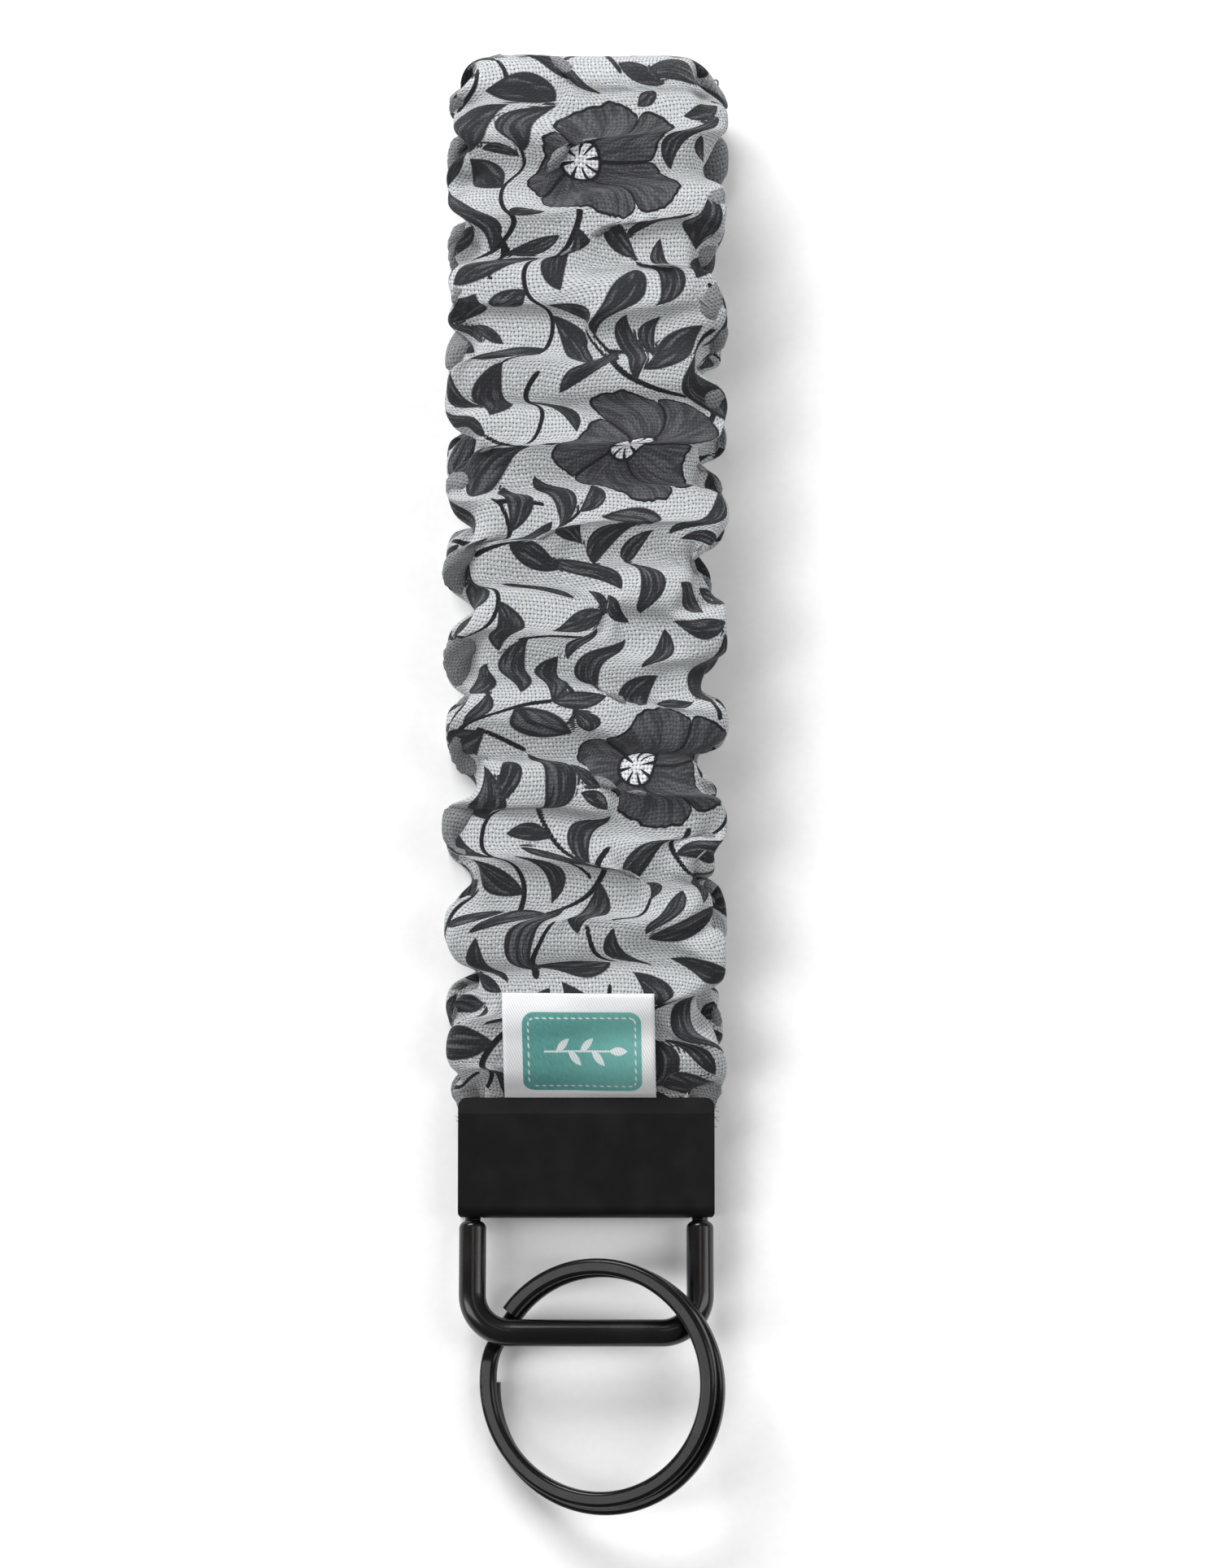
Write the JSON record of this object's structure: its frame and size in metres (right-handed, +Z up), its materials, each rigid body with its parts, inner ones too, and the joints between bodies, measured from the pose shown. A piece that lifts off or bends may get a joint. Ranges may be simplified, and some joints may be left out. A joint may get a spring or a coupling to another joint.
{
  "type": "wristlet keychain",
  "caption": "Wrist-strap keychain: a gathered printed fabric loop over elastic, held in a metal clamp with a swinging wire bail and a split ring.",
  "frame": {"origin": "middle of the clamp's back face, on the surface the keychain lies on", "axes": "+X across the strap, +Y from the clamp along the strap to the loop's fold, +Z up, towards the front with the label"},
  "size_m": [0.0342, 0.1827, 0.0164],
  "materials": {
    "clamp_metal": "satin black",
    "wire_metal": "gloss black",
    "ring_metal": "semi-gloss black",
    "printed_cotton": "plain-weave cotton with a charcoal leaf and flower print",
    "elastic": "woven elastic",
    "thread": "polyester sewing thread",
    "satin_ribbon": "satin ribbon with a plain teal leaf print"
  },
  "bodies": {
    "strap": {"fob_clamp": "clamp_metal", "fabric_sleeve": "printed_cotton", "elastic_band": "elastic", "sleeve_seam_thread": "thread", "end_basting_thread": "thread", "label": "satin_ribbon"},
    "bail": {"bail": "wire_metal"},
    "key_ring": {"split_ring": "ring_metal"}
  },
  "joints": [
    {"name": "bail_swing", "type": "hinge", "parent": "strap", "child": "bail", "pos_m": [0, -0.00545, 0.0032], "axis": [-1, 0, 0], "range_deg": [-31.5, 8.4]},
    {"name": "ring_spin", "type": "hinge", "parent": "bail", "child": "key_ring", "pos_m": [0.0017, -0.02785, 0.00643], "axis": [-0.309, 0, 0.9511], "continuous": true}
  ]
}
